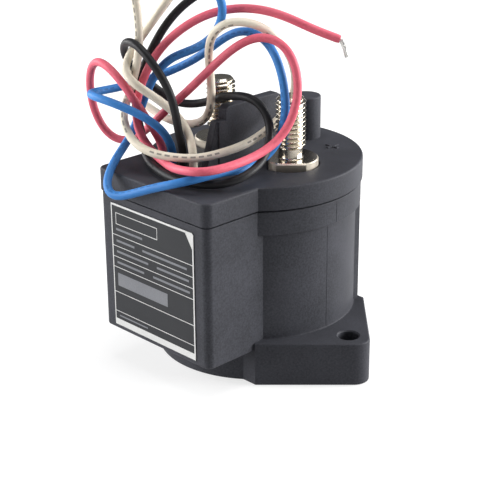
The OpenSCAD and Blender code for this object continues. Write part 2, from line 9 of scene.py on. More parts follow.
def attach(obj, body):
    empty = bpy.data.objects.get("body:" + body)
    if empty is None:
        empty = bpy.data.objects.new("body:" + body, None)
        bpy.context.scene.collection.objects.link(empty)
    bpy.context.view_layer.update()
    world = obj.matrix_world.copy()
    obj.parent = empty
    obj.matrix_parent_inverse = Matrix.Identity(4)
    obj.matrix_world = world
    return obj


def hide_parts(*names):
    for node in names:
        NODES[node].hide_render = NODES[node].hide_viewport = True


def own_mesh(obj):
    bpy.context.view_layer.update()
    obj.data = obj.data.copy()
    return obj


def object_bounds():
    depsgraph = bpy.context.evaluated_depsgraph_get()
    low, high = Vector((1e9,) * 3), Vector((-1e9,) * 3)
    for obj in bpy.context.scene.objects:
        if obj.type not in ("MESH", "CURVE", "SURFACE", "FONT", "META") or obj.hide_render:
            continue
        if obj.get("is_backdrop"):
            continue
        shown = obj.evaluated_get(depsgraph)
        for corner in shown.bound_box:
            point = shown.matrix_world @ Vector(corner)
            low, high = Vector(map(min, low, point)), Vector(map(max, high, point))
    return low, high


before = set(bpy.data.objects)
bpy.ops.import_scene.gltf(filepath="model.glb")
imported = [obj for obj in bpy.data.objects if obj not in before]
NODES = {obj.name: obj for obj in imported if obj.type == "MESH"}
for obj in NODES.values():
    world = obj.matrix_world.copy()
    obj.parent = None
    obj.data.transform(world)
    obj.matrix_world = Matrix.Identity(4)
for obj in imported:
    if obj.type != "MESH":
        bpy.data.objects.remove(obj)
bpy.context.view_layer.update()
scene = bpy.context.scene
scene.view_settings.view_transform = "Standard"

# Sizes in millimetres and angles in degrees, as in the solids
MM = 0.001
HOUSING_H = 48.3
DRUM_R = 27.4
COLLAR_R = 28.7
COLLAR_H = 6.5
BOX_W = 41.6
BOX_REACH = 37.4
BOX_REAR = 19.7
BOX_BASE = 9.7
BOX_EDGE_R = 2.0
WALL_T = 2.0
FLOOR_T = 3.0
FOOT_X = 35.0
FOOT_HOLE_R = 2.8
FOOT_H = 12.0
FOOT_APEX = 43.0
FOOT_TIP_R = 4.3
FOOT_HALF = 21.5
LID_T = 6.7
LID_R = 29.1
LID_LIP = 0.4
SEAM_H = 0.5
SEAM_DEPTH = 1.1
LID_TOP = HOUSING_H + LID_T
LID_RECESS = 3.2
LID_RING_R = 25.2
LID_RING_W = 1.5
LID_RING_H = 1.2
POCKET_DEPTH = 0.8
POCKET_R = 7.9
BARRIER_T = 3.0
WEB_T = 2.4
BARRIER_FRONT = 14.8
WEB_REACH = 4.1
WEB_TOP = 0.5
SHOULDER_H = 11.9
BARRIER_H = 15.5
RISE_FRONT = 12.2
RISE_REAR = 8.4
RISE_SLOPE = 1.4
RISE_DROP = 0.8
POST_R = 4.0
POST_Y = 20.0
STUD_X = 13.25
THREAD_R = 4.0
THREAD_PITCH = 1.25
THREAD_DEPTH = 0.77
STUD_H = 16.5
NECK_R = 3.2
NECK_H = 2.6
FLANGE_R = 7.4
FLANGE_FLATS = 12.8
FLANGE_SIDE = 5.9
FLANGE_T = 2.7
FLANGE_CHAMFER = 0.4
FLAT_ANGLE = -44.0
SIDE_TURN = 90
SHANK_R = 4.5
STUD_BOTTOM = 41.0
MARK_AT = (11.75, 18.0)
MARK_LEN = 4.2
MARK_W = 0.9
MARK_H = 0.3
GROMMET_AT = (-6.0, -22.5)
GROMMET_HALF = 6.0
GROMMET_W = 4.6
GROMMET_LIP = 0.8
GROMMET_RISE = 0.5
PLATE_W = 32.4
PLATE_H = 35.4
PLATE_Z = 11.0
PLATE_FILM = 0.2
PLATE_CUT = 0.6
SPRING_R = 3.45
SPRING_WIRE = 0.9
LEAD_R = 1.1
FLANGE_Z = LID_TOP - POCKET_DEPTH
FLANGE_TOP = FLANGE_Z + FLANGE_T

# Edges, fine relief and overlaps, with lengths in millimetres, angles in degrees and plain shares
PAST = 1.0
OVERLAP = 0.5
SINK = 0.1
BORE_GAP = 0.1
DRUM_EDGE = 0.4
COLLAR_EDGE = 0.35
SEAM_EDGE = 0.18
FOOT_EDGE_LOW = 0.3
FOOT_EDGE = 0.5
FOOT_FILLET = 0.5
FILLET_BEND = 0.3
BOX_EDGE_LOW = 0.5
HOLE_CHAMFER = 0.35
RIDGE_W = 0.14
RIDGE_H = 0.05
RIDGE_END = 0.3
DRUM_RIDGE = -1
COLLAR_RIDGE = 3
LID_EDGE_LOW = 0.12
LID_EDGE = 0.55
BARRIER_EDGE = 0.35
WEB_EDGE = 0.3
POST_EDGE = 0.45
MARK_EDGE = 0.08
GROMMET_EDGE = 0.2
FLANGE_EDGE_LOW = 0.1
NECK_FLARE = ((0.5, -0.05), (0.18, 0.1), (0.0, 0.45))
FLANK_SLOPE = 2.3
ROOT_FLAT = 0.07
END_CHAMFER = 1.0
LEAD_EDGE = 0.12
WIRE_EDGE = 0.1
CORE_R = 0.24
STRAND_R = 0.21
STRAND_AT = 0.38
STRANDS = 6
STRAND_TURN = 0.035

# Print of the nameplate in millimetres, with places from its lower left corner
PLATE_EDGE = 0.06
PRINT_SINK = 0.02
PRINT_RISE = 0.015
MARGIN = 0.1
BAND_FOOT = 1.9
BAND_LEFT = 0.45
BAND_RIGHT = 0.55
BAND_TOP = 0.65
CORNER_W, CORNER_H = 3.1, 4.6
RULE_W = 0.18
RULES = (26.5, 23.3, 20.2, 17.2, 9.9, 4.2)
EMPTY_FRAME = (1.9, 29.6, 18.5, 32.9)
BARS = ((1.9, 27.9, 12.5, 28.5), (1.9, 11.9, 21.9, 15.6), (1.9, 2.8, 13.5, 3.2))
ROW_H = 0.6
ROWS = ((24.9, 1.9, 9.2, 12.4, 29.6), (21.8, 1.9, 14.6, 18.0, 30.3), (18.7, 1.9, 12.8, 16.4, 30.6))

# Ink on the leads, as shares of the round and of each step, with steps in metres
INK_W = 0.035
DASH_STEP, DASH_SHARE = 0.0021, 0.62
GROUP_STEP, GROUP_SHARE = 0.0273, 0.69

# Steps around round shapes and along curves, for the flange in degrees
DRUM_SIDES = 160
LID_STEPS = 150
CORNER_STEPS = 10
TIP_STEPS = 16
SLOT_STEPS = 24
BORE_SIDES = 64
POCKET_SIDES = 96
POST_SIDES = 72
STUD_SIDES = 72
THREAD_ROWS = 20
FLANGE_STEP = 2.25
LEAD_SIDES = 20
LEAD_STEPS = 10
STRAND_SIDES = 8
STRAND_STEPS = 12
SPRING_SIDES = 12
SPRING_STEPS = 32

# Limits in millimetres for points that are joined and edges that are taken out
WELD = 0.002
SLIVER = 0.001

# Lead routes from the grommet to the end of the insulation, as x, y and height above the lid
ROUTES = {
    "red": [
        (-12, -22.5, 0.5), (-12, -22.5, 5), (-13, -27, 12.5), (-16, -30.5, 20.5), (-22.5, -31.5, 26),
        (-29.5, -30.5, 26), (-34, -29, 20), (-35, -27.5, 11), (-33, -25, 3.5), (-28.5, -22, 1),
        (-23.5, -19, 4.5), (-18, -17.5, 10.5), (-12, -17, 15.5), (-6.5, -17, 20), (-1, -15.5, 25.5),
        (4.5, -13, 31.5), (10, -9.5, 35.5), (15.5, -6, 34.5), (19.5, -4.5, 29), (20.5, -4.5, 21),
        (19.5, -6.5, 13.5), (18.5, -11, 9), (18, -18, 7), (18, -27, 6.5), (16.5, -34, 6.5),
        (11.5, -35.5, 6), (3.5, -32.5, 4), (-4, -28.5, 2.5), (-10.5, -28, 4.5), (-15.5, -28.5, 9.5),
        (-17, -27, 16.5), (-16, -24.5, 23.5), (-13.5, -21.5, 30), (-9.5, -18, 35), (-4.5, -14, 39),
        (1, -10, 41), (7.5, -6.5, 41.5), (14, -3, 40), (20, 0.5, 37), (25.5, 5, 34.5),
    ],
    "blue": [
        (-8, -22.5, 0.5), (-8, -22.5, 5), (-8.5, -26, 11), (-12, -31.5, 15.5), (-19, -35.5, 18),
        (-26, -35.5, 18), (-30, -31, 17), (-30, -24, 16.5), (-27, -17, 17.5), (-22, -12.5, 20),
        (-16.5, -10, 23), (-11, -8.5, 26.5), (-5.5, -7.5, 31), (0, -6.5, 34.5), (6, -5.5, 35),
        (12, -5.5, 32), (16, -6, 26), (17.5, -6, 18.5), (16.5, -6, 11), (14.5, -8, 5.5),
        (13.5, -12.5, 3), (14.5, -19.5, 3), (15, -27, 4.5), (13.5, -33.5, 4), (9, -37.5, 2.5),
        (2, -39.5, 0), (-4.5, -41.5, -3), (-9, -43, -4), (-12.5, -42, -1.5), (-15.5, -36.5, 2.5),
        (-18, -29.5, 5.5), (-18.5, -25.5, 10.5), (-17.5, -23.5, 17), (-15.5, -21, 23.5), (-12.5, -18, 27.5),
        (-7.5, -15, 29.5), (-1.5, -13, 33.5), (2.5, -13, 40.5), (3, -15.5, 47), (-1.5, -20, 50.5),
    ],
    "black": [
        (-4, -22.5, 0.5), (-4, -22.5, 5), (-3.5, -24.5, 11), (-4, -25, 17.5), (-5.5, -26.5, 23.5),
        (-8, -28.5, 28.5), (-13, -29, 32.5), (-19, -28, 32.5), (-23.5, -25.5, 28.5), (-24.5, -22, 23),
        (-23.5, -17.5, 18.5), (-21.5, -14, 15), (-18.5, -12, 12.5), (-14, -10, 12.5), (-9, -9, 14),
        (-3.5, -9.5, 16.5), (2.5, -11, 18.5), (8.5, -10.5, 19.5), (12.5, -9, 17), (14.5, -8.5, 12),
        (16, -11, 7.5), (18, -15.5, 5), (19.5, -20.5, 4), (18.5, -25.5, 2.5), (14.5, -30, 1.5),
        (9, -32.5, 1.5), (3, -33, 1.5), (-4, -31.5, 1.5), (-10.5, -28.5, 1.5), (-15.5, -25.5, 1.5),
        (-19, -23, 3), (-20.5, -23, 7.5), (-20.5, -24.5, 14), (-19.5, -24.5, 19.5), (-18, -23.5, 24),
        (-16.5, -21, 30), (-14.5, -17, 37), (-10.5, -11.5, 43), (-5, -6.5, 46), (-1, -2.5, 45),
    ],
    "white": [
        (0, -22.5, 0.5), (0, -22.5, 5), (-3.5, -20.5, 9.5), (-8, -22.5, 15.5), (-13, -29.5, 21.5),
        (-16.5, -30, 23.5), (-19.5, -28.5, 26.5), (-19.5, -21.5, 33), (-15, -20, 39), (-9.5, -15.5, 48),
        (-12.5, -18, 57.5), (-16.5, -26, 56), (-16.5, -27, 47), (-16.5, -25.5, 38.5), (-16, -26, 30),
        (-17, -27, 23.5), (-19.5, -28, 16), (-17, -32, 13.5), (-13.5, -32.5, 8), (-7, -32.5, 6),
        (0, -30, 5.5), (4.5, -25, 5), (6.5, -18, 5.5), (7, -10.5, 6), (6.5, -3, 7.5),
        (6.5, 3.5, 10.5), (7.5, 7, 15), (9, 6.5, 21.5), (10.5, 2.5, 28.5), (10.5, -3, 34.5),
        (8.5, -9, 38.5), (4.5, -14, 39), (0.5, -16, 35.5), (-2.5, -14.5, 29.5), (-3.5, -12.5, 21.5),
        (-4, -12, 14), (-7.5, -12, 9), (-14, -13, 7.5), (-21, -14, 8), (-28, -14.5, 10.5),
    ],
}

# Bare ends beyond the insulation, as steps from the end of each route
END_STEPS = {
    "red": [(0, 0, 0), (1, 0.5, -1.5), (1.5, 1, -4.5)],
    "blue": [(0, 0, 0), (-2, -2, 1.5), (-3.5, -3.5, 2)],
    "black": [(0, 0, 0), (2, 2, -0.5), (4, 3.5, -1.5)],
    "white": [(0, 0, 0), (-2.5, 0, 1), (-4.5, 0.5, 2)],
}


# Outlines

def arc(centre, radius, start, end, steps):
    """Points on an arc, in degrees, both ends included."""
    angles = [math.radians(start + (end - start) * k / steps) for k in range(steps + 1)]
    return [(centre[0] + radius * math.cos(a), centre[1] + radius * math.sin(a)) for a in angles]


def circle(centre, radius, steps=128):
    """Points on a whole circle, anticlockwise."""
    return arc(centre, radius, 0, 360, steps)[:-1]


def rectangle(x0, y0, x1, y1):
    """The corners of a rectangle, anticlockwise."""
    return [(x0, y0), (x1, y0), (x1, y1), (x0, y1)]


def block_outline(width, front, rear, radius):
    """A block with two round front corners, anticlockwise."""
    half = width / 2
    right = arc((half - radius, -front + radius), radius, -90, 0, CORNER_STEPS)
    left = arc((-half + radius, -front + radius), radius, 180, 270, CORNER_STEPS)
    return right + [(half, rear), (-half, rear)] + left


def lid_outline():
    """The round lid with its block front, anticlockwise."""
    half = BOX_W / 2 + LID_LIP
    front = BOX_REACH + LID_LIP
    radius = BOX_EDGE_R + LID_LIP
    meet = math.degrees(math.acos(half / LID_R))
    right = arc((half - radius, -front + radius), radius, -90, 0, CORNER_STEPS)
    left = arc((-half + radius, -front + radius), radius, 180, 270, CORNER_STEPS)
    return right + arc((0, 0), LID_R, -meet, 180 + meet, LID_STEPS) + left


def foot_outline():
    """The foot plate with slanted edges and round tips, anticlockwise."""
    shoulder = FOOT_APEX - FOOT_HALF
    tip = FOOT_APEX - FOOT_TIP_R * math.sqrt(2)
    right = arc((tip, 0), FOOT_TIP_R, -45, 45, TIP_STEPS)
    left = arc((-tip, 0), FOOT_TIP_R, 135, 225, TIP_STEPS)
    return (
        [(shoulder, -FOOT_HALF)] + right + [(shoulder, FOOT_HALF), (-shoulder, FOOT_HALF)]
        + left + [(-shoulder, -FOOT_HALF)]
    )


def slot_outline(centre, half, width):
    """A slot along X with round ends, anticlockwise."""
    right = arc((centre[0] + half, centre[1]), width / 2, -90, 90, SLOT_STEPS)
    left = arc((centre[0] - half, centre[1]), width / 2, 90, 270, SLOT_STEPS)
    return right + left


def inset(points, distance, sharpest=0.2):
    """A closed anticlockwise outline moved inwards along the mitre at each corner."""
    moved = []
    for i, b in enumerate(points):
        a, c = points[i - 1], points[(i + 1) % len(points)]
        d1 = Vector((b[0] - a[0], b[1] - a[1])).normalized()
        d2 = Vector((c[0] - b[0], c[1] - b[1])).normalized()
        n1, n2 = Vector((-d1.y, d1.x)), Vector((-d2.y, d2.x))
        mitre = (n1 + n2) / max(sharpest, 1 + n1.dot(n2))
        moved.append((b[0] + mitre.x * distance, b[1] + mitre.y * distance))
    return moved


# Meshes in millimetres

def prism(points, low, high, round_low=0.0, round_high=0.0, steps=4):
    """A prism on an outline, with rounded lower and upper edges."""
    levels = []
    for k in range(steps + 1 if round_low else 1):
        a = math.radians(90 * k / steps)
        levels.append((round_low * (1 - math.sin(a)), low + round_low * (1 - math.cos(a))))
    for k in range(steps + 1 if round_high else 1):
        a = math.radians(90 * k / steps)
        levels.append((round_high * (1 - math.cos(a)), high - round_high * (1 - math.sin(a))))
    rings = [(inset(points, gap) if gap else points, z) for gap, z in levels]
    return loft([[(x, y, z) for x, y in ring] for ring, z in rings])


def loft(rings):
    """Closed skin over rings with the same number of points."""
    n = len(rings[0])
    verts = [p for ring in rings for p in ring]
    faces = [
        (i * n + j, i * n + (j + 1) % n, (i + 1) * n + (j + 1) % n, (i + 1) * n + j)
        for i in range(len(rings) - 1) for j in range(n)
    ]
    faces.append(tuple(reversed(range(n))))
    faces.append(tuple(range((len(rings) - 1) * n, len(rings) * n)))
    return verts, faces


def lathe(profile, steps, centre=(0, 0)):
    """A turned solid from a profile of radius and height, bottom to top."""
    return loft([[(x, y, z) for x, y in circle(centre, r, steps)] for r, z in profile])


def upright(mesh):
    """Turns a mesh drawn in X-Y with its thickness along Z into the Y-Z plane."""
    return [(z, x, y) for x, y, z in mesh[0]], mesh[1]


def fronted(mesh, y):
    """Turns a mesh drawn in X-Y with its thickness along Z into the X-Z plane, towards -Y."""
    return [(x, y - z, up) for x, up, z in mesh[0]], mesh[1]


def raised(mesh, x, y, z):
    """A mesh moved by a step along each axis."""
    return [(a + x, b + y, c + z) for a, b, c in mesh[0]], mesh[1]


def build(name, *meshes):
    """One object in millimetres from several skins."""
    verts, faces = [], []
    for v, f in meshes:
        faces += [tuple(i + len(verts) for i in face) for face in f]
        verts += v
    data = bpy.data.meshes.new(name)
    data.from_pydata(verts, [], faces)
    obj = bpy.data.objects.new(name, data)
    scene.collection.objects.link(obj)
    return obj


def combine(target, tool, how):
    """Adds a tool solid to a target or takes it away, and removes the tool object."""
    mod = target.modifiers.new("join", "BOOLEAN")
    mod.operation = how
    mod.solver = "EXACT"
    mod.object = tool
    depsgraph = bpy.context.evaluated_depsgraph_get()
    result = bpy.data.meshes.new_from_object(target.evaluated_get(depsgraph))
    target.modifiers.clear()
    target.data = result
    bpy.data.objects.remove(tool)


def add(target, mesh):
    """Joins a mesh to a target."""
    combine(target, build("tool", mesh), "UNION")


def cut(target, mesh):
    """Takes a mesh out of a target."""
    combine(target, build("tool", mesh), "DIFFERENCE")


def tidied(obj):
    """Joins points that meet and takes out faces without area."""
    shape = bmesh.new()
    shape.from_mesh(obj.data)
    bmesh.ops.remove_doubles(shape, verts=shape.verts, dist=WELD)
    bmesh.ops.dissolve_degenerate(shape, edges=shape.edges, dist=SLIVER)
    shape.to_mesh(obj.data)
    shape.free()
    return obj


def settle(obj, body, slot, material, *nodes, angle=32, weighted=True):
    """Brings a finished mesh to metres, smooths it and puts it in place of its CAD nodes."""
    obj.data.transform(Matrix.Scale(MM, 4))
    obj.data.polygons.foreach_set("use_smooth", [True] * len(obj.data.polygons))
    obj.data.set_sharp_from_angle(angle=math.radians(angle))
    if weighted:
        mod = obj.modifiers.new("normals", "WEIGHTED_NORMAL")
        mod.keep_sharp = True
    obj.data.materials.clear()
    obj.data.materials.append(material)
    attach(obj, body)
    if nodes:
        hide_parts(*nodes)


# Materials

class Tree:
    """A material and short ways to add nodes to it."""

    def __init__(self, name):
        self.material = bpy.data.materials.new(name)
        self.material.use_nodes = True
        self.nodes = self.material.node_tree.nodes
        self.links = self.material.node_tree.links
        self.shader = self.nodes["Principled BSDF"]
        self.place = self.nodes.new("ShaderNodeTexCoord").outputs["Object"]

    def link(self, a, b):
        self.links.new(a, b)

    def noise(self, scale, detail, rough=0.55, stretch=None):
        """A noise pattern in the object's own space, stretched along its axes where asked."""
        node = self.nodes.new("ShaderNodeTexNoise")
        node.inputs["Scale"].default_value = scale
        node.inputs["Detail"].default_value = detail
        node.inputs["Roughness"].default_value = rough
        source = self.place
        if stretch:
            mapping = self.nodes.new("ShaderNodeMapping")
            mapping.inputs["Scale"].default_value = stretch
            self.link(source, mapping.inputs["Vector"])
            source = mapping.outputs["Vector"]
        self.link(source, node.inputs["Vector"])
        return node.outputs["Fac"]

    def ramp(self, value, stops):
        """A colour from a value, between stops of place and colour."""
        node = self.nodes.new("ShaderNodeValToRGB")
        ramp = node.color_ramp
        while len(ramp.elements) < len(stops):
            ramp.elements.new(0.5)
        for stop, (at, colour) in zip(ramp.elements, stops):
            stop.position = at
            stop.color = (*colour, 1.0)
        self.link(value, node.inputs["Fac"])
        return node.outputs["Color"]

    def spread(self, value, low, high, start=0.3, end=0.7):
        """A value brought from one range to another."""
        node = self.nodes.new("ShaderNodeMapRange")
        for key, number in (("From Min", start), ("From Max", end), ("To Min", low), ("To Max", high)):
            node.inputs[key].default_value = number
        self.link(value, node.inputs["Value"])
        return node.outputs["Result"]

    def math(self, how, a, b=None):
        """A sum on sockets or numbers."""
        node = self.nodes.new("ShaderNodeMath")
        node.operation = how
        for socket, value in zip(node.inputs, (a, b)):
            if value is None:
                continue
            if isinstance(value, (int, float)):
                socket.default_value = value
            else:
                self.link(value, socket)
        return node.outputs["Value"]

    def mix(self, factor, under, over):
        """A colour socket with a plain colour laid over it."""
        node = self.nodes.new("ShaderNodeMix")
        node.data_type = "RGBA"
        self.link(factor, node.inputs[0])
        self.link(under, node.inputs[6])
        node.inputs[7].default_value = (*over, 1.0)
        return node.outputs[2]

    def bump(self, height, depth, strength):
        """Fine relief from a height pattern."""
        node = self.nodes.new("ShaderNodeBump")
        node.inputs["Strength"].default_value = strength
        node.inputs["Distance"].default_value = depth
        self.link(height, node.inputs["Height"])
        self.link(node.outputs["Normal"], self.shader.inputs["Normal"])

    def blend(self, broad, fine, share):
        """A broad and a fine pattern added up, with the share of the broad one."""
        return self.math("ADD", self.math("MULTIPLY", broad, share), self.math("MULTIPLY", fine, 1 - share))

    def set(self, **values):
        """Even values on the shader's own sockets."""
        for key, value in values.items():
            self.shader.inputs[key.replace("_", " ")].default_value = value

    def feed(self, name, value):
        """A pattern on one of the shader's sockets."""
        self.link(value, self.shader.inputs[name])


def moulded(name, dark, light, rough=(0.5, 0.62), grain=2600, depth=0.00004, specular=0.4):
    """Moulded plastic or rubber with a fine grain."""
    look = Tree(name)
    broad = look.noise(70, 3)
    fine = look.noise(grain, 3, 0.6)
    look.feed("Base Color", look.ramp(look.blend(broad, fine, 0.4), [(0.35, dark), (0.65, light)]))
    look.feed("Roughness", look.spread(fine, *rough))
    look.bump(fine, depth, 0.35)
    look.set(Specular_IOR_Level=specular)
    return look.material


def metal(name, dark, light, rough=(0.2, 0.34), stretch=(1, 1, 14), depth=0.00001, satin=None):
    """Turned or drawn metal with fine tool lines, with a satin finish below a given height."""
    look = Tree(name)
    broad = look.noise(160, 3)
    lines = look.noise(900, 2, 0.6, stretch)
    look.feed("Base Color", look.ramp(broad, [(0.3, dark), (0.7, light)]))
    finish = look.spread(lines, *rough)
    if satin:
        split = look.nodes.new("ShaderNodeSeparateXYZ")
        look.link(look.place, split.inputs["Vector"])
        below = look.math("LESS_THAN", split.outputs["Z"], satin[0] * MM)
        finish = look.math("ADD", finish, look.math("MULTIPLY", below, satin[1]))
    look.feed("Roughness", finish)
    look.bump(lines, depth, 0.25)
    look.set(Metallic=1.0)
    return look.material


COARSE = {"grain": 2000, "depth": 0.00006, "specular": 0.13}
PLASTIC = moulded("housing_plastic", (0.030, 0.031, 0.036), (0.058, 0.059, 0.070), **COARSE)
LID_PLASTIC = moulded("lid_plastic", (0.029, 0.030, 0.035), (0.055, 0.056, 0.067), **COARSE)
NICKEL = metal("nickel_plate", (0.52, 0.47, 0.39), (0.66, 0.605, 0.515), rough=(0.17, 0.25),
               satin=(FLANGE_TOP - SINK, 0.22))
RUBBER = moulded("grommet_rubber", (0.012, 0.012, 0.012), (0.022, 0.022, 0.022), rough=(0.6, 0.75))
TINNED = metal("tinned_strand", (0.50, 0.49, 0.47), (0.72, 0.71, 0.69), rough=(0.25, 0.4))


def insulation(name, dark, light, ink, strength, rough=(0.42, 0.55)):
    """Soft wire insulation with a broken ink line along its length."""
    look = Tree(name)
    broad = look.noise(120, 3)
    fine = look.noise(1800, 3)
    colour = look.ramp(look.blend(broad, fine, 0.7), [(0.35, dark), (0.65, light)])
    uv = look.nodes.new("ShaderNodeUVMap").outputs["UV"]
    split = look.nodes.new("ShaderNodeSeparateXYZ")
    look.link(uv, split.inputs["Vector"])
    across = look.math("ABSOLUTE", look.math("SUBTRACT", split.outputs["Y"], 0.5))
    row = look.math("LESS_THAN", across, INK_W)
    mark = look.math("MULTIPLY", row, strength)
    for step, share in ((DASH_STEP, DASH_SHARE), (GROUP_STEP, GROUP_SHARE)):
        place = look.math("FRACT", look.math("DIVIDE", split.outputs["X"], step))
        mark = look.math("MULTIPLY", mark, look.math("LESS_THAN", place, share))
    look.feed("Base Color", look.mix(mark, colour, ink))
    look.feed("Roughness", look.spread(fine, *rough))
    look.bump(fine, 0.00002, 0.3)
    look.set(Specular_IOR_Level=0.2)
    return look.material


LEAD_LOOKS = {
    "red": insulation("insulation_red", (0.62, 0.105, 0.155), (0.72, 0.145, 0.195),
                      ink=(0.25, 0.04, 0.04), strength=0.14),
    "blue": insulation("insulation_blue", (0.038, 0.18, 0.48), (0.055, 0.225, 0.57),
                       ink=(0.01, 0.02, 0.05), strength=0.32),
    "black": insulation("insulation_black", (0.010, 0.010, 0.011), (0.017, 0.017, 0.019),
                        ink=(0.05, 0.05, 0.05), strength=0.2),
    "white": insulation("insulation_white", (0.68, 0.61, 0.49), (0.80, 0.74, 0.62),
                        ink=(0.08, 0.08, 0.08), strength=0.7),
}

# Camera

AZIMUTH, ELEVATION, ROLL = (math.radians(a) for a in (45.67, 22.39, -0.318))
CAMERA_AT = (0.2580, -0.2542, 0.1755)
FOCAL_LENGTH = 101.38
ahead = Vector((
    -math.sin(AZIMUTH) * math.cos(ELEVATION),
    math.cos(AZIMUTH) * math.cos(ELEVATION),
    -math.sin(ELEVATION),
))
level = Vector((math.cos(AZIMUTH), math.sin(AZIMUTH), 0))
top = level.cross(ahead)
right = level * math.cos(ROLL) + top * math.sin(ROLL)
above = top * math.cos(ROLL) - level * math.sin(ROLL)
lens = bpy.data.cameras.new("camera")
lens.sensor_fit = "HORIZONTAL"
lens.sensor_width = 36.0
lens.lens = FOCAL_LENGTH
lens.clip_start = 0.01
camera = bpy.data.objects.new("camera", lens)
camera.matrix_world = Matrix((
    (right.x, above.x, -ahead.x, CAMERA_AT[0]),
    (right.y, above.y, -ahead.y, CAMERA_AT[1]),
    (right.z, above.z, -ahead.z, CAMERA_AT[2]),
    (0, 0, 0, 1),
))
scene.collection.objects.link(camera)
scene.camera = camera


# Leads

def smooth(points, steps):
    """A smooth curve that follows the points of a route, as in the solids."""
    p = [Vector(q) for q in points]
    p = [2 * p[0] - p[1]] + p + [2 * p[-1] - p[-2]]
    curve = []
    for a, b, c, d in zip(p, p[1:], p[2:], p[3:]):
        for k in range(steps):
            t = k / steps
            u = 1 - t
            near = u ** 3 * a + (4 - 6 * t * t + 3 * t ** 3) * b
            far = (4 - 6 * u * u + 3 * u ** 3) * c + t ** 3 * d
            curve.append((near + far) / 6)
    return curve + [p[-2]]


def frames(path):
    """Two side vectors at each point of a path, carried along it without twist."""
    sides, side = [], None
    for i in range(len(path)):
        course = (path[min(i + 1, len(path) - 1)] - path[max(i - 1, 0)]).normalized()
        if side is None:
            side = Vector((1, 0, 0)) if abs(course.x) < 0.8 else Vector((0, 1, 0))
        side = (side - course * side.dot(course)).normalized()
        sides.append((side, course.cross(side)))
    return sides


def tube(path, radius, sides, twist=0.0, edge=0.0):
    """A round tube along a path, with end rings that are smaller by an edge."""
    rings = []
    for i, (p, (a, b)) in enumerate(zip(path, frames(path))):
        r = radius - edge if i in (0, len(path) - 1) else radius
        rings.append([tuple(p + r * (math.cos(w) * a + math.sin(w) * b))
                      for w in (2 * math.pi * j / sides + twist for j in range(sides))])
    return loft(rings)


def lead_object(name, path, twist):
    """Insulation with its length and its round angle as a map for the ink."""
    obj = build(name, tube(path, LEAD_R, LEAD_SIDES, twist, LEAD_EDGE))
    along = [0.0]
    for a, b in zip(path, path[1:]):
        along.append(along[-1] + (b - a).length * MM)
    layer = obj.data.uv_layers.new(name="map")
    for face in obj.data.polygons:
        last = len(face.vertices) == 4 and face.vertices[0] % LEAD_SIDES == LEAD_SIDES - 1
        for k, loop in zip(face.vertices, face.loop_indices):
            ring, j = divmod(k, LEAD_SIDES)
            turn = 1.0 if last and j == 0 else j / LEAD_SIDES
            layer.data[loop].uv = (along[ring], turn)
    return obj, along[-1]


TWIST = {"red": 0.59, "blue": -1.11, "black": -0.12, "white": -2.06}
for name, route in ROUTES.items():
    lifted = [(x, y, h + LID_TOP) for x, y, h in route]
    path = smooth(lifted, LEAD_STEPS)
    lead, length = lead_object("lead_" + name + "_insulation", path, TWIST[name])
    end = Vector(lifted[-1])
    core = smooth([end + Vector(s) for s in END_STEPS[name]], STRAND_STEPS)
    strands = [tube(core, CORE_R, STRAND_SIDES)]
    for k in range(STRANDS):
        turns = []
        for i, (p, (a, b)) in enumerate(zip(core, frames(core))):
            w = 2 * math.pi * (k / STRANDS + STRAND_TURN * i)
            turns.append(p + STRAND_AT * (math.cos(w) * a + math.sin(w) * b))
        strands.append(tube(turns, STRAND_R, STRAND_SIDES))
    bare = build(name + "_lead_strands", *strands)
    settle(bare, "base", "tinned_copper", TINNED, name + "_lead_end", weighted=False)
    settle(lead, "base", "insulation_" + name, LEAD_LOOKS[name], "lead_" + name, angle=50, weighted=False)

# Housing

housing = build("housing_shell", prism(circle((0, 0), DRUM_R, DRUM_SIDES), 0, HOUSING_H, DRUM_EDGE, 0))
collar = circle((0, 0), COLLAR_R, DRUM_SIDES)
add(housing, prism(collar, HOUSING_H - COLLAR_H, HOUSING_H, COLLAR_EDGE, SEAM_EDGE))
add(housing, prism(foot_outline(), 0, FOOT_H, FOOT_EDGE_LOW, FOOT_EDGE))
box = block_outline(BOX_W, BOX_REACH, BOX_REAR, BOX_EDGE_R)
add(housing, prism(box, BOX_BASE, HOUSING_H, BOX_EDGE_LOW, SEAM_EDGE))
fillet = [
    (DRUM_R - PAST, FOOT_H - FOOT_FILLET), (DRUM_R + FOOT_FILLET, FOOT_H - FOOT_FILLET),
    (DRUM_R + FOOT_FILLET, FOOT_H),
    (DRUM_R + FILLET_BEND * FOOT_FILLET, FOOT_H + FILLET_BEND * FOOT_FILLET),
    (DRUM_R, FOOT_H + FOOT_FILLET), (DRUM_R - PAST, FOOT_H + FOOT_FILLET),
]
add(housing, lathe(fillet, DRUM_SIDES))
for radius, angle, low, high in (
    (DRUM_R, DRUM_RIDGE, FOOT_H, HOUSING_H - COLLAR_H),
    (COLLAR_R, COLLAR_RIDGE, HOUSING_H - COLLAR_H, HOUSING_H),
):
    for turn in (angle, angle + 180):
        a = math.radians(turn)
        ridge = rectangle(radius - OVERLAP, -RIDGE_W / 2, radius + RIDGE_H, RIDGE_W / 2)
        ridge = [(x * math.cos(a) - y * math.sin(a), x * math.sin(a) + y * math.cos(a)) for x, y in ridge]
        add(housing, prism(ridge, low + RIDGE_END, high - RIDGE_END))
cut(housing, prism(circle((0, 0), DRUM_R - WALL_T), FLOOR_T, HOUSING_H + PAST))
box_room = block_outline(BOX_W - 2 * WALL_T, BOX_REACH - WALL_T, 0, BOX_EDGE_R / 2)
cavity = build("cavity", prism(box_room, BOX_BASE + WALL_T, HOUSING_H + PAST))
cut(cavity, prism(circle((0, 0), DRUM_R), 0, HOUSING_H + 2 * PAST))
combine(housing, cavity, "DIFFERENCE")
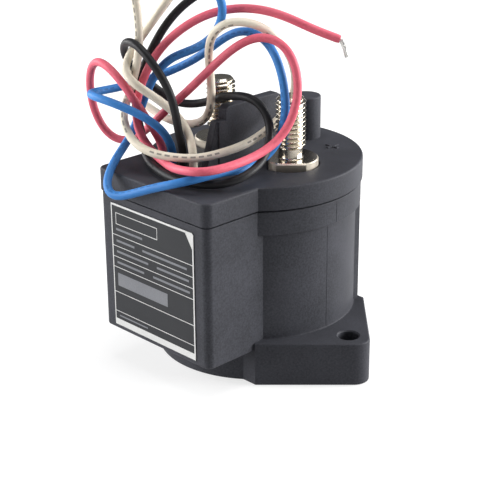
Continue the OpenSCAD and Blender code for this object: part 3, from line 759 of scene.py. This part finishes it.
for side in (-1, 1):
    hole = [
        (FOOT_HOLE_R, -PAST), (FOOT_HOLE_R, FOOT_H - HOLE_CHAMFER),
        (FOOT_HOLE_R + HOLE_CHAMFER, FOOT_H), (FOOT_HOLE_R + HOLE_CHAMFER, FOOT_H + PAST),
    ]
    cut(housing, lathe(hole, BORE_SIDES, (side * FOOT_X, 0)))
settle(tidied(housing), "base", "housing_plastic", PLASTIC, "housing")

# Lid

lid = build("lid_cover", prism(lid_outline(), HOUSING_H + SEAM_H, LID_TOP, LID_EDGE_LOW, LID_EDGE))
add(lid, prism(inset(lid_outline(), SEAM_DEPTH), HOUSING_H, HOUSING_H + SEAM_H + OVERLAP))
barrier = [
    (-BARRIER_FRONT, -PAST), (POST_Y, -PAST), (POST_Y, SHOULDER_H), (RISE_REAR, SHOULDER_H),
    (RISE_REAR, BARRIER_H - RISE_DROP), (RISE_REAR - RISE_SLOPE, BARRIER_H),
    (-RISE_FRONT + RISE_SLOPE, BARRIER_H), (-RISE_FRONT, BARRIER_H - RISE_DROP),
    (-RISE_FRONT, SHOULDER_H), (-BARRIER_FRONT, SHOULDER_H),
]
web = [
    (-BARRIER_FRONT - WEB_REACH, -PAST), (-BARRIER_FRONT + PAST, -PAST), (-BARRIER_FRONT + PAST, SHOULDER_H),
    (-BARRIER_FRONT - WEB_TOP, SHOULDER_H), (-BARRIER_FRONT - WEB_REACH, 0),
]
for outline, width, edge in ((barrier, BARRIER_T, BARRIER_EDGE), (web, WEB_T, WEB_EDGE)):
    add(lid, raised(upright(prism(outline, -width / 2, width / 2, edge, edge)), 0, 0, LID_TOP))
add(lid, prism(circle((0, POST_Y), POST_R, POST_SIDES), LID_TOP - PAST, LID_TOP + SHOULDER_H, 0, POST_EDGE))
for w, h in ((MARK_LEN, MARK_W), (MARK_W, MARK_LEN)):
    bar = rectangle(-w / 2, -h / 2, w / 2, h / 2)
    add(lid, raised(prism(bar, -PAST, MARK_H, 0, MARK_EDGE, 2), *MARK_AT, LID_TOP))
ring_foot = HOUSING_H - LID_RING_H
add(lid, prism(circle((0, 0), LID_RING_R), ring_foot, HOUSING_H + PAST))
cut(lid, prism(circle((0, 0), LID_RING_R - LID_RING_W), ring_foot - PAST, HOUSING_H + LID_RECESS))
for side in (-1, 1):
    cut(lid, prism(circle((side * STUD_X, 0), SHANK_R + BORE_GAP, BORE_SIDES), HOUSING_H, LID_TOP + PAST))
    cut(lid, prism(circle((side * STUD_X, 0), POCKET_R, POCKET_SIDES), FLANGE_Z, LID_TOP + PAST))
opening = slot_outline(GROMMET_AT, GROMMET_HALF, GROMMET_W + 2 * BORE_GAP)
cut(lid, prism(opening, HOUSING_H - 3 * PAST, LID_TOP + PAST))
settle(tidied(lid), "base", "housing_plastic", LID_PLASTIC, "lid")

plug = slot_outline(GROMMET_AT, GROMMET_HALF, GROMMET_W)
lip = slot_outline(GROMMET_AT, GROMMET_HALF, GROMMET_W + 2 * GROMMET_LIP)
grommet = build(
    "lead_grommet_seal",
    prism(plug, HOUSING_H + LID_RECESS, LID_TOP + SINK),
    prism(lip, LID_TOP, LID_TOP + GROMMET_RISE, 0, GROMMET_EDGE),
)
settle(grommet, "base", "grommet_rubber", RUBBER, "lead_grommet")


# Studs

def thread(low, high):
    """Skin of a screw thread, open where it runs out at the neck, with a chamfered and closed end."""
    rows, sides = THREAD_ROWS, STUD_SIDES
    first = math.floor(low / THREAD_PITCH) - 1
    count = math.ceil((high - low) / THREAD_PITCH) + 3
    verts, faces = [], []
    for i in range(count * rows + 1):
        for j in range(sides):
            z = (first + i / rows + j / sides) * THREAD_PITCH
            z = min(max(z, low), high)
            phase = (z / THREAD_PITCH - j / sides) % 1.0
            rise = min(1.0, max(0.0, (0.5 - abs(phase - 0.5)) * FLANK_SLOPE - ROOT_FLAT))
            r = THREAD_R - THREAD_DEPTH * (1 - rise)
            r = min(r, NECK_R + (z - low), THREAD_R - END_CHAMFER + (high - z))
            a = 2 * math.pi * j / sides
            verts.append((r * math.cos(a), r * math.sin(a), z))
    for i in range(count * rows):
        for j in range(sides - 1):
            k = i * sides + j
            faces.append((k, k + 1, k + sides + 1, k + sides))
        if i >= rows:
            k = (i - rows) * sides + sides - 1
            faces.append((k, i * sides, (i + 1) * sides, k + sides))
    faces.append(tuple(range(count * rows * sides, (count * rows + 1) * sides)))
    return verts, faces


def neck(low, high):
    """Skin of the neck, flared at the flange and open at the thread."""
    flare = [(NECK_R + out, low + up) for out, up in NECK_FLARE]
    verts, faces = lathe(flare + [(NECK_R, high)], STUD_SIDES)
    return verts, faces[:-1]


def flange_outline(turn):
    """A round flange with two flats across and a third flat at a turn from the first."""
    ends = []
    for angle, reach in sorted(((0, FLANGE_FLATS / 2), (180, FLANGE_FLATS / 2), (turn % 360, FLANGE_SIDE))):
        spread = math.degrees(math.acos(reach / FLANGE_R))
        ends.append((FLAT_ANGLE + angle - spread, FLAT_ANGLE + angle + spread))
    points = []
    for (_, start), (end, _) in zip(ends, ends[1:] + [(ends[0][0] + 360, None)]):
        points += arc((0, 0), FLANGE_R, start, end, max(4, round((end - start) / FLANGE_STEP)))
    return points


neck_top = FLANGE_TOP + NECK_H
for name, side in (("left", -1), ("right", 1)):
    skins = (
        prism(flange_outline(-SIDE_TURN * side), FLANGE_Z, FLANGE_TOP, FLANGE_EDGE_LOW, FLANGE_CHAMFER, 1),
        lathe([(SHANK_R, STUD_BOTTOM), (SHANK_R, FLANGE_Z + SINK)], BORE_SIDES),
        neck(FLANGE_TOP, neck_top),
        thread(neck_top, FLANGE_TOP + STUD_H),
    )
    stud = build("stud_" + name, *[raised(skin, side * STUD_X, 0, 0) for skin in skins])
    settle(tidied(stud), "base", "nickel_stud", NICKEL, "terminal_stud_" + name, angle=40)

# Nameplate

SMOOTH = {"rough": (0.4, 0.5), "depth": 0.000005}
FILM = moulded("label_film", (0.020, 0.021, 0.024), (0.027, 0.028, 0.031), specular=0.18, **SMOOTH)
PRINT = moulded("label_print", (0.55, 0.55, 0.54), (0.63, 0.63, 0.62), **SMOOTH)
PALE_PRINT = moulded("label_grey_print", (0.13, 0.135, 0.15), (0.18, 0.185, 0.20), **SMOOTH)


def on_plate(outline, low, high, edge=0.0):
    """A thin piece on the front of the box, on an outline from the nameplate's lower left corner."""
    return raised(fronted(prism(outline, low, high, 0, edge, 2), -BOX_REACH), -PLATE_W / 2, 0, PLATE_Z)


plate_plan = [
    (0, 0), (PLATE_W, 0), (PLATE_W, PLATE_H - PLATE_CUT), (PLATE_W - PLATE_CUT, PLATE_H), (0, PLATE_H),
]
plate = build("nameplate_film", on_plate(plate_plan, 0, PLATE_FILM, PLATE_EDGE))
settle(plate, "base", "label_film", FILM, "nameplate")

outer, upper = PLATE_W - MARGIN, PLATE_H - MARGIN
inner = PLATE_W - BAND_RIGHT
corner_x, corner_z = PLATE_W - CORNER_W, PLATE_H - CORNER_H
x0, z0, x1, z1 = EMPTY_FRAME
white = [
    rectangle(MARGIN, MARGIN, outer, BAND_FOOT),
    rectangle(MARGIN, BAND_FOOT, BAND_LEFT, upper),
    rectangle(inner, BAND_FOOT, outer, corner_z),
    rectangle(BAND_LEFT, PLATE_H - BAND_TOP, corner_x, upper),
    [(outer, corner_z), (outer, PLATE_H - PLATE_CUT), (PLATE_W - PLATE_CUT, upper), (corner_x, upper),
     (corner_x, PLATE_H - BAND_TOP), (inner, corner_z)],
    rectangle(x0, z0, x1, z0 + RULE_W),
    rectangle(x0, z1 - RULE_W, x1, z1),
    rectangle(x0, z0 + RULE_W, x0 + RULE_W, z1 - RULE_W),
    rectangle(x1 - RULE_W, z0 + RULE_W, x1, z1 - RULE_W),
]
white += [rectangle(BAND_LEFT, z - RULE_W / 2, inner, z + RULE_W / 2) for z in RULES]
pale = [rectangle(*bar) for bar in BARS]
for z, *ends in ROWS:
    pale += [rectangle(a, z - ROW_H / 2, b, z + ROW_H / 2) for a, b in (ends[:2], ends[2:])]
for name, shapes, material in (("nameplate_border", white, PRINT), ("nameplate_rows", pale, PALE_PRINT)):
    prints = [on_plate(shape, PLATE_FILM - PRINT_SINK, PLATE_FILM + PRINT_RISE) for shape in shapes]
    ink = build(name, prints[0])
    for skin in prints[1:]:
        add(ink, skin)
    settle(ink, "base", "label_film", material)

# Springs, each fixed to its body

SPRING_STEEL = metal("spring_steel", (0.36, 0.36, 0.37), (0.50, 0.50, 0.52))
for name, body, joint, low, high, turns, anchor, keep in (
    ("return_spring", "base", "plunger_slide", 12.7, 21.9, 5, 22.4, 0.80),
    ("contact_spring", "armature", "bridge_slide", 32.7, 35.7, 3, 32.2, 0.87),
):
    steps = turns * SPRING_STEPS
    wound = arc((0, 0), SPRING_R, 0, 360 * turns, steps)
    coil = [Vector((x, y, low + (high - low) * k / steps)) for k, (x, y) in enumerate(wound)]
    spring = build(name + "_coil", tube(coil, SPRING_WIRE / 2, SPRING_SIDES, 0, WIRE_EDGE))
    settle(spring, body, "spring_steel", SPRING_STEEL, name, angle=50, weighted=False)
    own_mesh(spring)

# CAD nodes that stay as they are

KEPT = {
    "stud_seals": moulded("seal_rubber", (0.035, 0.010, 0.008), (0.05, 0.016, 0.012), rough=(0.6, 0.75)),
    "arc_chamber": moulded("chamber_ceramic", (0.62, 0.60, 0.54), (0.72, 0.70, 0.65), rough=(0.6, 0.8),
                           grain=1200),
    "arc_magnets": moulded("magnet_ferrite", (0.018, 0.018, 0.018), (0.035, 0.034, 0.033),
                           rough=(0.45, 0.65)),
    "contact_bridge": metal("bridge_copper", (0.55, 0.24, 0.12), (0.68, 0.34, 0.20), stretch=(1, 12, 1)),
    "bridge_contacts": metal("contact_silver", (0.62, 0.61, 0.58), (0.78, 0.78, 0.76)),
    "bridge_clip": SPRING_STEEL,
    "spring_seat": moulded("bobbin_plastic", (0.42, 0.32, 0.16), (0.50, 0.40, 0.22)),
    "drive_rod": metal("turned_steel", (0.48, 0.48, 0.48), (0.60, 0.60, 0.61)),
    "plunger": metal("magnet_iron", (0.30, 0.30, 0.31), (0.42, 0.42, 0.43), rough=(0.3, 0.5)),
    "coil_winding": metal("winding_copper", (0.36, 0.12, 0.03), (0.50, 0.19, 0.06), stretch=(1, 1, 30),
                          depth=0.0001),
    "control_board": moulded("board_laminate", (0.010, 0.075, 0.028), (0.016, 0.10, 0.04),
                             rough=(0.3, 0.42)),
    "board_components": moulded("component_black", (0.015, 0.015, 0.016), (0.03, 0.03, 0.032)),
    "reed_switch": moulded("reed_glass", (0.35, 0.50, 0.42), (0.45, 0.60, 0.52), rough=(0.06, 0.12)),
}
for name, like in (
    ("chamber_base", "arc_chamber"), ("fixed_core", "plunger"), ("yoke_cup", "plunger"),
    ("yoke_plate", "plunger"), ("guide_sleeve", "drive_rod"), ("coil_bobbin", "spring_seat"),
):
    KEPT[name] = KEPT[like]
for name, material in KEPT.items():
    NODES[name].data.materials.clear()
    NODES[name].data.materials.append(material)

# Floor, light and world

FLOOR_HALF = 3.0
FLOOR_Z = -0.0002
FLOOR_GLOW = 0.66


def floor_material():
    """A pale floor that looks white to the camera and still takes the object's shadow."""
    look = Tree("floor")
    grey = look.ramp(look.noise(6, 2), [(0.3, (0.40, 0.40, 0.40)), (0.7, (0.44, 0.44, 0.44))])
    look.feed("Base Color", grey)
    look.set(Roughness=0.9, Specular_IOR_Level=0.0)
    rays = look.nodes.new("ShaderNodeLightPath").outputs
    seen = look.math("MAXIMUM", rays["Is Glossy Ray"], rays["Is Transmission Ray"])
    seen = look.math("MAXIMUM", rays["Is Camera Ray"], seen)
    glow = look.nodes.new("ShaderNodeEmission")
    look.link(look.math("MULTIPLY", seen, FLOOR_GLOW), glow.inputs["Strength"])
    both = look.nodes.new("ShaderNodeAddShader")
    look.link(look.shader.outputs["BSDF"], both.inputs[0])
    look.link(glow.outputs["Emission"], both.inputs[1])
    look.link(both.outputs["Shader"], look.nodes["Material Output"].inputs["Surface"])
    return look.material


ground = bpy.data.meshes.new("floor")
corners = rectangle(-FLOOR_HALF, -FLOOR_HALF, FLOOR_HALF, FLOOR_HALF)
ground.from_pydata([(x, y, FLOOR_Z) for x, y in corners], [], [(0, 1, 2, 3)])
ground.materials.append(floor_material())
floor = bpy.data.objects.new("floor", ground)
scene.collection.objects.link(floor)
floor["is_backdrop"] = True

world = bpy.data.worlds.new("studio")
scene.world = world
world.use_nodes = True
sky = world.node_tree.nodes["Background"]
sky.inputs["Color"].default_value = (0.93, 0.96, 1.0, 1.0)
sky.inputs["Strength"].default_value = 0.12


def softbox(name, place, target, size, power):
    """A rectangular lamp that faces a target."""
    data = bpy.data.lights.new(name, "AREA")
    data.shape = "RECTANGLE"
    data.size, data.size_y = size
    data.energy = power
    lamp = bpy.data.objects.new(name, data)
    lamp.location = place
    lamp.rotation_euler = (Vector(target) - Vector(place)).to_track_quat("-Z", "Y").to_euler()
    scene.collection.objects.link(lamp)


MIDDLE = (0, 0, 0.05)
softbox("light_right", (0.46, 0.60, 0.23), MIDDLE, (0.8, 0.4), 13.8)
softbox("light_left", (-0.57, -0.49, 0.22), MIDDLE, (1.2, 0.4), 12.4)
softbox("light_top", (0.05, 0.10, 0.80), MIDDLE, (0.5, 0.5), 4.2)

low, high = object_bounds()
